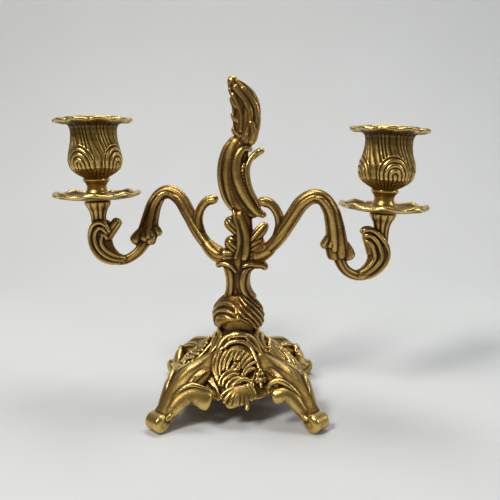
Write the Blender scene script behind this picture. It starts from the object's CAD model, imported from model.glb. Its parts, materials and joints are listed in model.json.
"""Two-light rococo candelabrum in aged gilt brass, dressed for a studio view.

Every casting is built the way a pattern maker would: bars, lobes, shells and turned forms are laid over each
other, run together into one skin, and softened like a casting. A relief mask, worked out from the finished
skin, then drives the dark patina in the hollows and the rubbed gold on the ridges.
Sizes in the classes are millimetres; meshes are handed to the scene in metres.
"""

import json
import logging
import math
from dataclasses import dataclass, field
from enum import Enum
from typing import Callable, Iterable, Sequence

import bpy
import numpy as np
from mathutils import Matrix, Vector

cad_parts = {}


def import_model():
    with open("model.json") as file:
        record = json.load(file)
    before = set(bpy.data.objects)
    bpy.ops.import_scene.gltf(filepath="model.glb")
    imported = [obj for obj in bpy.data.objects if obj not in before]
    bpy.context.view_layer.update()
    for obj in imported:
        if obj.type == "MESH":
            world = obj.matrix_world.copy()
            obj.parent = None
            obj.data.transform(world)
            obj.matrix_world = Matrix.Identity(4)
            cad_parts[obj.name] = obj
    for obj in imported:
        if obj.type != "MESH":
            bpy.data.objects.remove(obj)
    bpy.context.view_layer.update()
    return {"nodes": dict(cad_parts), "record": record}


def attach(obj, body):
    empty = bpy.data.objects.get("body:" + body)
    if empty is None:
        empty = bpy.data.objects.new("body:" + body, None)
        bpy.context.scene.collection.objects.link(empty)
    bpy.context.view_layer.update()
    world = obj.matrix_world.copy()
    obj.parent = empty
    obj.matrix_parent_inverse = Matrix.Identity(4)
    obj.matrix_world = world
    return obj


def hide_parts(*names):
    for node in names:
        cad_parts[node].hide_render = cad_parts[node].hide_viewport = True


LOG = logging.getLogger("candelabrum")
MM = 0.001
SAMPLES_PER_SPAN = 24
Array = np.ndarray
Stations = tuple[tuple[float, ...], ...]


class Body(str, Enum):
    """Rigid bodies of the frame."""

    BASE = "base"
    BRANCH = "branch"
    LEFT_PAN = "left_pan"
    RIGHT_PAN = "right_pan"


class Slot(str, Enum):
    """Material slots of the record."""

    GILT = "gilt_brass"
    STEEL = "plated_steel"


# ---------------------------------------------------------------- shells


@dataclass
class Shell:
    """A closed skin: points in millimetres and its faces as index tuples."""

    points: Array
    faces: list[tuple[int, ...]]

    def moved(self, matrix: Array, offset: Sequence[float] = (0.0, 0.0, 0.0)) -> "Shell":
        """The same skin, turned by a 3 x 3 matrix and then shifted."""
        return Shell(self.points @ np.asarray(matrix).T + np.asarray(offset), self.faces)


def turn_z(degrees: float) -> Array:
    """Rotation matrix about Z."""
    c, s = math.cos(math.radians(degrees)), math.sin(math.radians(degrees))
    return np.array([[c, -s, 0.0], [s, c, 0.0], [0.0, 0.0, 1.0]])


def grid_faces(rows: int, columns: int) -> list[tuple[int, ...]]:
    """Quads of a grid whose columns close on themselves.

    Args:
        rows: number of rows of points.
        columns: points in a row.

    Returns:
        One index tuple per quad.
    """
    i, j = np.meshgrid(np.arange(rows - 1), np.arange(columns), indexing="ij")
    k = (j + 1) % columns
    quads = np.stack([i * columns + j, i * columns + k, (i + 1) * columns + k, (i + 1) * columns + j], -1)
    return [tuple(q) for q in quads.reshape(-1, 4).tolist()]


def smooth_line(stations: Sequence[Sequence[float]], spacing: float) -> Array:
    """Catmull-Rom line through stations of any number of values, sampled evenly by the first three.

    Args:
        stations: rows of x, y, z and further values that are interpolated with them.
        spacing: distance between samples in millimetres.

    Returns:
        One row per sample.
    """
    p = np.asarray(stations, float)
    p = np.vstack([2 * p[0] - p[1], p, 2 * p[-1] - p[-2]])
    fine = []
    for i in range(1, len(p) - 2):
        t = np.linspace(0, 1, SAMPLES_PER_SPAN, endpoint=False)[:, None]
        a, b, c, d = p[i - 1], p[i], p[i + 1], p[i + 2]
        fine.append(0.5 * (2 * b + (c - a) * t + (2 * a - 5 * b + 4 * c - d) * t**2
                           + (3 * b - a - 3 * c + d) * t**3))
    fine.append(p[-2:-1])
    line = np.vstack(fine)
    length = np.concatenate([[0], np.cumsum(np.linalg.norm(np.diff(line[:, :3], axis=0), axis=1))])
    count = max(6, int(length[-1] / spacing) + 1)
    at = np.linspace(0, length[-1], count)
    return np.stack([np.interp(at, length, line[:, k]) for k in range(line.shape[1])], 1)


@dataclass(frozen=True)
class Ribs:
    """Lengthwise relief round a bar: rounded ribs with narrow grooves between them."""

    count: int = 0
    depth: float = 0.0
    phase: float = 0.0
    twist: float = 0.0
    sharp: float = 0.7
    beads: float = 0.0
    bead_length: float = 4.0

    def height(self, angle: Array, share: Array, along: Array) -> Array:
        """Height of the relief at an angle round the bar and a place along it.

        Args:
            angle: angle round the bar in radians.
            share: 0 to 1 along the bar.
            along: the same place in millimetres.

        Returns:
            Height in millimetres, zero on the crest of a rib.
        """
        if not self.count:
            return np.zeros(np.broadcast(angle, share).shape)
        wave = np.abs(np.cos(self.count / 2 * (angle - self.phase - self.twist * 2 * math.pi * share)))
        relief = self.depth * (wave**self.sharp - 1.0)
        if self.beads:
            relief = relief + self.beads * (np.abs(np.sin(math.pi * along / self.bead_length)) - 1.0)
        return relief * np.ones_like(share)


SMOOTH = Ribs()


@dataclass(frozen=True)
class Bar:
    """A cast bar along a line, oval in section and rounded at both ends.

    Each station is x, y, z, half width in the line's own plane and half depth along facing.
    """

    stations: Stations
    ribs: Ribs = SMOOTH
    facing: tuple[float, float, float] = (0.0, 1.0, 0.0)
    around: int = 56
    spacing: float = 0.55
    blunt: float = 1.0

    def shell(self) -> Shell:
        """The bar's closed skin.

        Returns:
            The closed skin.
        """
        line = smooth_line(self.stations, self.spacing)
        centre, width, depth = line[:, :3], line[:, 3], line[:, 4]
        tangent = np.gradient(centre, axis=0)
        tangent /= np.linalg.norm(tangent, axis=1)[:, None]
        side = np.cross(np.asarray(self.facing, float), tangent)
        side /= np.linalg.norm(side, axis=1)[:, None]
        deep = np.cross(tangent, side)
        along = np.concatenate([[0], np.cumsum(np.linalg.norm(np.diff(centre, axis=0), axis=1))])
        total = along[-1]
        cap0 = self.blunt * min(width[0], depth[0])
        cap1 = self.blunt * min(width[-1], depth[-1])
        closing = np.ones(len(along))
        for distance, cap in ((along, cap0), (total - along, cap1)):
            near = np.clip(distance / max(cap, 1e-6), 0, 1)
            closing *= np.sqrt(np.clip(1 - (1 - near) ** 2, 0.0, 1))
        angle = np.arange(self.around) / self.around * 2 * math.pi
        c, s = np.cos(angle)[None, :], np.sin(angle)[None, :]
        share = (along / total)[:, None]
        lift = self.ribs.height(angle[None, :], share, along[:, None])
        a, b = width[:, None], depth[:, None]
        out = np.sqrt((b * c) ** 2 + (a * s) ** 2) + 1e-9
        across = (a * c + lift * b * c / out) * closing[:, None]
        away = (b * s + lift * a * s / out) * closing[:, None]
        points = (centre[:, None, :] + side[:, None, :] * across[..., None]
                  + deep[:, None, :] * away[..., None])
        rows = len(along)
        flat = points.reshape(-1, 3)
        faces = grid_faces(rows, self.around)
        first, last = len(flat), len(flat) + 1
        flat = np.vstack([flat, centre[0], centre[-1]])
        base = (rows - 1) * self.around
        for j in range(self.around):
            k = (j + 1) % self.around
            faces.append((first, k, j))
            faces.append((last, base + j, base + k))
        return Shell(flat, faces)


def both_faces(rows: Sequence[Sequence[float]], ribs: Ribs = SMOOTH, around: int = 56,
               spacing: float = 0.55) -> list[Shell]:
    """The same bar on the back and on the front, mirrored in Y.

    Args:
        rows: the bar's stations on the back, y positive.
        ribs: its relief.
        around: number of points round it.
        spacing: distance between its rings.

    Returns:
        Skins of the two bars.
    """
    return [Bar(tuple((x, face * y, z, a, b) for x, y, z, a, b in rows), ribs, around=around,
                spacing=spacing).shell() for face in (-1, 1)]


def flat_bar(rows: Sequence[Sequence[float]], ribs: Ribs = SMOOTH, around: int = 56, spacing: float = 0.55,
             blunt: float = 1.0) -> Shell:
    """A bar in the plane y = 0.

    Args:
        rows: x, z, half width in the plane and half depth across it.
        ribs: its relief.
        around: number of points round it.
        spacing: distance between its rings.
        blunt: length of its rounded ends, as a share of its half width.

    Returns:
        Its skin.
    """
    stations = tuple((x, 0.0, z, a, b) for x, z, a, b in rows)
    return Bar(stations, ribs, around=around, spacing=spacing, blunt=blunt).shell()


@dataclass(frozen=True)
class Ball:
    """A bead, squashed to three half sizes and turned about Y."""

    centre: tuple[float, float, float]
    half: tuple[float, float, float]
    lean: float = 0.0

    def shell(self) -> Shell:
        """The bead's closed skin.

        Returns:
            The closed skin.
        """
        rows, around = 20, 32
        latitude = np.linspace(-math.pi / 2, math.pi / 2, rows)[:, None]
        angle = np.arange(around) / around * 2 * math.pi
        x = np.cos(latitude) * np.cos(angle) * self.half[0]
        y = np.cos(latitude) * np.sin(angle) * self.half[1]
        z = np.sin(latitude) * np.ones_like(angle) * self.half[2]
        flat = np.stack([x, y, z], -1).reshape(-1, 3)
        c, s = math.cos(math.radians(self.lean)), math.sin(math.radians(self.lean))
        flat = flat @ np.array([[c, 0, s], [0, 1, 0], [-s, 0, c]]).T + np.asarray(self.centre)
        return Shell(flat, grid_faces(rows, around))


def turned_shell(profile: Sequence[Sequence[float]], around: int, spacing: float,
                 relief: Callable[[Array, Array, Array], Array] | None = None,
                 shape: Callable[[Array, Array, Array], tuple[Array, Array]] | None = None,
                 closed: bool = True, rounding: int = 0) -> Shell:
    """A skin turned about Z from a closed profile.

    Args:
        profile: rows of radius and height, in order round the section; rows may carry a third value, which
            scales the relief there.
        around: number of steps round the axis.
        spacing: distance between steps along the profile.
        relief: height along the profile's normal from angle, profile station index as a share, and height z.
        shape: last change of radius and height from angle, radius and height.
        closed: whether the profile closes on itself; if not it starts and ends on the axis.
        rounding: how often the profile's corners are rounded off.

    Returns:
        The closed skin.
    """
    p = np.asarray(profile, float)
    if p.shape[1] == 2:
        p = np.hstack([p, np.ones((len(p), 1))])
    loop = np.vstack([p, p[:1]]) if closed else p
    length = np.concatenate([[0], np.cumsum(np.linalg.norm(np.diff(loop[:, :2], axis=0), axis=1))])
    count = max(8, int(length[-1] / spacing))
    at = np.linspace(0, length[-1], count, endpoint=not closed)
    line = np.stack([np.interp(at, length, loop[:, k]) for k in range(3)], 1)
    for _ in range(rounding):
        if closed:
            line = (np.roll(line, 1, 0) + 2 * line + np.roll(line, -1, 0)) / 4
        else:
            line[1:-1] = (line[:-2] + 2 * line[1:-1] + line[2:]) / 4
    if closed:
        tangent = np.roll(line, -1, 0)[:, :2] - np.roll(line, 1, 0)[:, :2]
    else:
        tangent = np.gradient(line[:, :2], axis=0)
    tangent /= np.linalg.norm(tangent, axis=1)[:, None] + 1e-9
    normal = np.stack([tangent[:, 1], -tangent[:, 0]], 1)
    angle = (np.arange(around) / around * 2 * math.pi)[None, :]
    radius, height = line[:, 0:1] + 0 * angle, line[:, 1:2] + 0 * angle
    if relief is not None:
        share = (np.arange(len(line)) / len(line))[:, None] + 0 * angle
        lift = relief(angle + 0 * radius, share, height) * line[:, 2:3]
        radius = radius + normal[:, 0:1] * lift
        height = height + normal[:, 1:2] * lift
    if shape is not None:
        radius, height = shape(angle + 0 * radius, radius, height)
    radius = np.maximum(radius, 0.0)
    flat = np.stack([radius * np.cos(angle), radius * np.sin(angle), height], -1).reshape(-1, 3)
    rows = len(line)
    faces = grid_faces(rows, around)
    if closed:
        last = (rows - 1) * around
        for j in range(around):
            k = (j + 1) % around
            faces.append((last + j, last + k, k, j))
    return Shell(flat, faces)


# ---------------------------------------------------------------- castings


def mesh_from(shells: Iterable[Shell], name: str) -> bpy.types.Mesh:
    """One mesh, in metres, of several skins.

    Args:
        shells: skins in millimetres.
        name: the mesh's name.

    Returns:
        The mesh.
    """
    points, faces, start = [], [], 0
    for shell in shells:
        points.append(shell.points)
        faces += [tuple(i + start for i in face) for face in shell.faces]
        start += len(shell.points)
    mesh = bpy.data.meshes.new(name)
    mesh.from_pydata((np.vstack(points) * MM).tolist(), [], faces)
    mesh.update()
    return mesh


def add_object(name: str, mesh: bpy.types.Mesh) -> bpy.types.Object:
    """A new object in the scene.

    Args:
        name: the object's name.
        mesh: what it shows.

    Returns:
        The object.
    """
    obj = bpy.data.objects.new(name, mesh)
    bpy.context.scene.collection.objects.link(obj)
    return obj


def run_together(obj: bpy.types.Object, voxel: float) -> None:
    """Fuses an object's overlapping skins into one, at a voxel size in millimetres.

    Args:
        obj: the object, whose mesh is exchanged.
        voxel: voxel size in millimetres.
    """
    step = obj.modifiers.new("run_together", "REMESH")
    step.mode = "VOXEL"
    step.voxel_size = voxel * MM
    step.use_smooth_shade = True
    graph = bpy.context.evaluated_depsgraph_get()
    fresh = bpy.data.meshes.new_from_object(obj.evaluated_get(graph))
    old = obj.data
    obj.modifiers.clear()
    obj.data = fresh
    bpy.data.meshes.remove(old)


@dataclass
class Skin:
    """Points and edges of a finished mesh, for smoothing and for reading its relief."""

    obj: bpy.types.Object
    points: Array = field(init=False)
    edges: Array = field(init=False)
    degree: Array = field(init=False)

    def __post_init__(self) -> None:
        """Reads the mesh."""
        mesh = self.obj.data
        self.points = np.empty(len(mesh.vertices) * 3)
        mesh.vertices.foreach_get("co", self.points)
        self.points = self.points.reshape(-1, 3)
        self.edges = np.empty(len(mesh.edges) * 2, np.int64)
        mesh.edges.foreach_get("vertices", self.edges)
        self.edges = self.edges.reshape(-1, 2)
        self.degree = np.bincount(self.edges.ravel(), minlength=len(self.points)).astype(float)

    def averaged(self, values: Array, passes: int, share: float = 1.0) -> Array:
        """Values after each has moved a share of the way to its neighbours' mean, several times.

        Args:
            values: one row per point.
            passes: how often they move.
            share: how far they move each time; negative moves them away.

        Returns:
            The new values, one row per point.
        """
        a, b = self.edges[:, 0], self.edges[:, 1]
        count = len(self.points)
        degree = np.maximum(self.degree, 1)[:, None]
        values = values.reshape(count, -1).copy()
        for _ in range(passes):
            total = np.stack([np.bincount(a, values[b, k], count) + np.bincount(b, values[a, k], count)
                              for k in range(values.shape[1])], 1)
            values += share * (total / degree - values)
        return values

    def soften(self, passes: int) -> None:
        """Smooths the mesh a little, as casting and polishing do, without shrinking it much.

        Args:
            passes: how often it is smoothed.
        """
        shrink, swell = 0.6, -0.5
        for _ in range(passes):
            self.points = self.averaged(self.points, 1, shrink)
            self.points = self.averaged(self.points, 1, swell)
        self.obj.data.vertices.foreach_set("co", self.points.ravel())
        self.obj.data.update()

    def write_relief(self, fine_mm: float = 0.16, broad_mm: float = 0.9) -> None:
        """Stores how far each point stands out of its surroundings, from 0 in a hollow to 1 on a ridge.

        Args:
            fine_mm: height that counts as a full ridge in narrow relief.
            broad_mm: height that counts as a full ridge in broad relief.
        """
        mesh = self.obj.data
        normal = np.empty(len(mesh.vertices) * 3)
        mesh.vertices.foreach_get("normal", normal)
        normal = normal.reshape(-1, 3)
        near_passes, far_passes = 7, 45
        near = self.averaged(self.points, near_passes)
        far = self.averaged(near, far_passes)
        fine = ((self.points - near) * normal).sum(1) / (fine_mm * MM)
        broad = ((self.points - far) * normal).sum(1) / (broad_mm * MM)
        fine_weight, broad_weight = 0.75, 0.85
        mask = 0.5 + 0.5 * np.tanh(fine_weight * fine + broad_weight * broad)
        mask = self.averaged(mask, 1, 0.6)[:, 0]
        attribute = mesh.attributes.new("relief", "FLOAT", "POINT")
        attribute.data.foreach_set("value", mask.astype(np.float32))


@dataclass
class Casting:
    """Skins that are cast as one piece."""

    name: str
    body: Body
    nodes: tuple[str, ...]
    voxel: float = 0.45
    soft: int = 2
    fused: bool = True
    shells: list[Shell] = field(default_factory=list)

    def add(self, *shells: Shell) -> None:
        """Adds skins to the casting."""
        self.shells += shells

    def make(self, finish: bpy.types.Material, turn: Array | None = None) -> bpy.types.Object:
        """Builds the piece, softens it, reads its relief and places it on its body.

        Args:
            finish: the material it gets.
            turn: rotation of the whole piece about the stem, if any.

        Returns:
            The finished object.
        """
        shells = self.shells if turn is None else [shell.moved(turn) for shell in self.shells]
        obj = add_object(self.name, mesh_from(shells, self.name))
        if self.fused:
            run_together(obj, self.voxel * (1.0))
        skin = Skin(obj)
        if self.soft:
            skin.soften(self.soft)
        skin.write_relief()
        obj.data.materials.clear()
        obj.data.materials.append(finish)
        obj.data.polygons.foreach_set("use_smooth", [True] * len(obj.data.polygons))
        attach(obj, self.body.value)
        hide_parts(*self.nodes)
        LOG.info("%s: %d faces", self.name, len(obj.data.polygons))
        return obj


# ---------------------------------------------------------------- finishes


def new_group(name: str, inputs: dict[str, tuple[str, float]], outputs: dict[str, str]) -> bpy.types.NodeTree:
    """An empty shader group with named sockets.

    Args:
        name: the group's name.
        inputs: socket name to its type word and default.
        outputs: socket name to its type word.

    Returns:
        The group, with its input and output nodes in place.
    """
    group = bpy.data.node_groups.new(name, "ShaderNodeTree")
    for socket, (kind, default) in inputs.items():
        made = group.interface.new_socket(socket, in_out="INPUT", socket_type=f"NodeSocket{kind}")
        made.default_value = default
    for socket, kind in outputs.items():
        group.interface.new_socket(socket, in_out="OUTPUT", socket_type=f"NodeSocket{kind}")
    group.nodes.new("NodeGroupInput").name = "In"
    group.nodes.new("NodeGroupOutput").name = "Out"
    return group


class Wiring:
    """Short ways to add and join shader nodes in one tree."""

    def __init__(self, tree: bpy.types.NodeTree) -> None:
        """Keeps the tree."""
        self.tree = tree

    def node(self, kind: str, **settings: object) -> bpy.types.Node:
        """A new node, with its properties set by name.

        Args:
            kind: the node's type without its prefix.
            **settings: its properties by name.

        Returns:
            The node.
        """
        made = self.tree.nodes.new(f"ShaderNode{kind}")
        for key, setting in settings.items():
            setattr(made, key, setting)
        return made

    def feed(self, socket: bpy.types.NodeSocket, source: object) -> None:
        """Joins a source socket to a socket, or sets a plain value on it.

        Args:
            socket: the input that is fed.
            source: an output socket or a plain value.
        """
        if isinstance(source, bpy.types.NodeSocket):
            self.tree.links.new(source, socket)
        else:
            socket.default_value = source

    def math(self, operation: str, *sources: object, clamp: bool = False) -> bpy.types.NodeSocket:
        """A maths node of sockets or numbers.

        Args:
            operation: the node's operation.
            *sources: its inputs in order.
            clamp: whether the result is kept from 0 to 1.

        Returns:
            Its output.
        """
        made = self.node("Math", operation=operation, use_clamp=clamp)
        for socket, source in zip(made.inputs, sources):
            self.feed(socket, source)
        return made.outputs[0]

    def noise(self, scale: object, detail: float, rough: float = 0.55) -> bpy.types.NodeSocket:
        """Noise over object coordinates.

        Args:
            scale: scale of the noise per metre.
            detail: number of octaves.
            rough: weight of the finer octaves.

        Returns:
            Its value.
        """
        place = self.node("TexCoord")
        made = self.node("TexNoise")
        self.feed(made.inputs["Vector"], place.outputs["Object"])
        self.feed(made.inputs["Scale"], scale)
        made.inputs["Detail"].default_value = detail
        made.inputs["Roughness"].default_value = rough
        return made.outputs["Fac"]

    def ramp(self, source: bpy.types.NodeSocket, low: float, high: float) -> bpy.types.NodeSocket:
        """A smooth step from 0 at low to 1 at high.

        Args:
            source: the value it steps on.
            low: value that gives 0.
            high: value that gives 1.

        Returns:
            Its output.
        """
        made = self.node("MapRange", interpolation_type="SMOOTHSTEP")
        self.feed(made.inputs["Value"], source)
        made.inputs["From Min"].default_value = low
        made.inputs["From Max"].default_value = high
        return made.outputs[0]

    def mix(self, share: object, a: object, b: object) -> bpy.types.NodeSocket:
        """A colour mixed of two.

        Args:
            share: how much of the second colour is taken.
            a: first colour.
            b: second colour.

        Returns:
            The mixed colour.
        """
        made = self.node("Mix", data_type="RGBA")
        self.feed(made.inputs[0], share)
        self.feed(made.inputs[6], a)
        self.feed(made.inputs[7], b)
        return made.outputs[2]


def patina_group() -> bpy.types.NodeTree:
    """Masks of dark patina in hollows and of rubbed metal on ridges, broken up by noise.

    Returns:
        The group.
    """
    group = new_group("patina", {"Breakup": ("Float", 0.3)},
                      {"Hollow": "Float", "Ridge": "Float", "Mottle": "Float"})
    w = Wiring(group)
    inlet, outlet = group.nodes["In"], group.nodes["Out"]
    relief = w.node("Attribute", attribute_name="relief").outputs["Fac"]
    blotch = w.noise(90.0, 4.0)
    speck = w.noise(900.0, 3.0, 0.65)
    swing = w.math("MULTIPLY", w.math("SUBTRACT", blotch, 0.5), inlet.outputs["Breakup"])
    fleck = w.math("MULTIPLY", w.math("SUBTRACT", speck, 0.5),
                   w.math("MULTIPLY", inlet.outputs["Breakup"], 0.9))
    level = w.math("ADD", w.math("ADD", relief, swing), fleck)
    hollow_range, ridge_range, mottle_range = (0.42, 0.86), (0.50, 0.88), (0.35, 0.7)
    w.feed(outlet.inputs["Hollow"], w.ramp(w.math("SUBTRACT", 1.0, level), *hollow_range))
    w.feed(outlet.inputs["Ridge"], w.ramp(level, *ridge_range))
    w.feed(outlet.inputs["Mottle"], w.ramp(speck, *mottle_range))
    return group


def grain_group() -> bpy.types.NodeTree:
    """Height of a cast and polished skin: fine pits and faint waves.

    Returns:
        The group.
    """
    group = new_group("cast_grain", {"Pits": ("Float", 1.0)}, {"Height": "Float"})
    w = Wiring(group)
    inlet, outlet = group.nodes["In"], group.nodes["Out"]
    pits = w.ramp(w.noise(1500.0, 3.0, 0.6), 0.3, 0.62)
    waves = w.noise(260.0, 2.0)
    height = w.math("ADD", w.math("MULTIPLY", pits, inlet.outputs["Pits"]), w.math("MULTIPLY", waves, 1.6))
    w.feed(outlet.inputs["Height"], height)
    return group


@dataclass(frozen=True)
class GiltFinish:
    """Aged gilt brass: rubbed ridges, olive gold between and brown patina in the hollows."""

    name: str
    ridge: tuple[float, float, float] = (0.70, 0.49, 0.15)
    middle: tuple[float, float, float] = (0.205, 0.118, 0.027)
    hollow: tuple[float, float, float] = (0.030, 0.012, 0.005)
    rough_ridge: float = 0.24
    rough_hollow: float = 0.52
    breakup: float = 0.34
    pits: float = 1.0
    bump: float = 0.22

    def make(self, patina: bpy.types.NodeTree, grain: bpy.types.NodeTree) -> bpy.types.Material:
        """The material, made with the shared groups.

        Args:
            patina: group with the masks.
            grain: group with the skin's height.

        Returns:
            The material.
        """
        material = bpy.data.materials.new(self.name)
        material.use_nodes = True
        w = Wiring(material.node_tree)
        shader = material.node_tree.nodes["Principled BSDF"]
        masks = w.node("Group", node_tree=patina)
        masks.inputs["Breakup"].default_value = self.breakup
        skin = w.node("Group", node_tree=grain)
        skin.inputs["Pits"].default_value = self.pits
        mottling, warmth, dulling = 0.35, 0.28, 0.45
        warm = [(1 - warmth) * m + warmth * r for m, r in zip(self.middle, self.ridge)]
        mid = w.mix(w.math("MULTIPLY", masks.outputs["Mottle"], mottling), (*self.middle, 1), (*warm, 1))
        worn = w.mix(masks.outputs["Ridge"], mid, (*self.ridge, 1))
        w.feed(shader.inputs["Base Color"], w.mix(masks.outputs["Hollow"], worn, (*self.hollow, 1)))
        rough = w.math("ADD", self.rough_ridge,
                       w.math("MULTIPLY", w.math("SUBTRACT", 1.0, masks.outputs["Ridge"]),
                              self.rough_hollow - self.rough_ridge))
        w.feed(shader.inputs["Roughness"], rough)
        w.feed(shader.inputs["Metallic"],
               w.math("SUBTRACT", 1.0, w.math("MULTIPLY", masks.outputs["Hollow"], dulling)))
        bump = w.node("Bump")
        bump.inputs["Strength"].default_value = self.bump
        bump.inputs["Distance"].default_value = 0.0002
        w.feed(bump.inputs["Height"], skin.outputs["Height"])
        w.feed(shader.inputs["Normal"], bump.outputs["Normal"])
        return material


@dataclass(frozen=True)
class SteelFinish:
    """Dull plated steel of the screws and nuts, a little stained."""

    name: str = "plated_steel"
    bright: tuple[float, float, float] = (0.46, 0.45, 0.42)
    stained: tuple[float, float, float] = (0.20, 0.15, 0.10)
    rough: float = 0.38

    def make(self, grain: bpy.types.NodeTree) -> bpy.types.Material:
        """The material, made with the shared grain.

        Args:
            grain: group with the skin's height.

        Returns:
            The material.
        """
        material = bpy.data.materials.new(self.name)
        material.use_nodes = True
        w = Wiring(material.node_tree)
        shader = material.node_tree.nodes["Principled BSDF"]
        stain = w.ramp(w.noise(420.0, 4.0, 0.6), 0.42, 0.68)
        w.feed(shader.inputs["Base Color"], w.mix(stain, (*self.bright, 1), (*self.stained, 1)))
        shader.inputs["Metallic"].default_value = 1.0
        w.feed(shader.inputs["Roughness"], w.math("ADD", self.rough, w.math("MULTIPLY", stain, 0.25)))
        skin = w.node("Group", node_tree=grain)
        bump = w.node("Bump")
        bump.inputs["Strength"].default_value = 0.15
        bump.inputs["Distance"].default_value = 0.0001
        w.feed(bump.inputs["Height"], skin.outputs["Height"])
        w.feed(shader.inputs["Normal"], bump.outputs["Normal"])
        return material


# ---------------------------------------------------------------- helpers of relief


def step(x: Array, low: float, high: float) -> Array:
    """Smooth step from 0 at low to 1 at high."""
    t = np.clip((x - low) / (high - low), 0, 1)
    return t * t * (3 - 2 * t)


def hump(x: Array, centre: float, width: float) -> Array:
    """A smooth bump of height 1."""
    return np.exp(-(((x - centre) / width) ** 2))


def ribbed(phase: Array, sharp: float = 0.7) -> Array:
    """Rounded ribs with narrow grooves, one rib per whole number of phase, 0 on the crest."""
    return np.abs(np.cos(math.pi * phase)) ** sharp - 1.0


# ---------------------------------------------------------------- base


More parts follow.
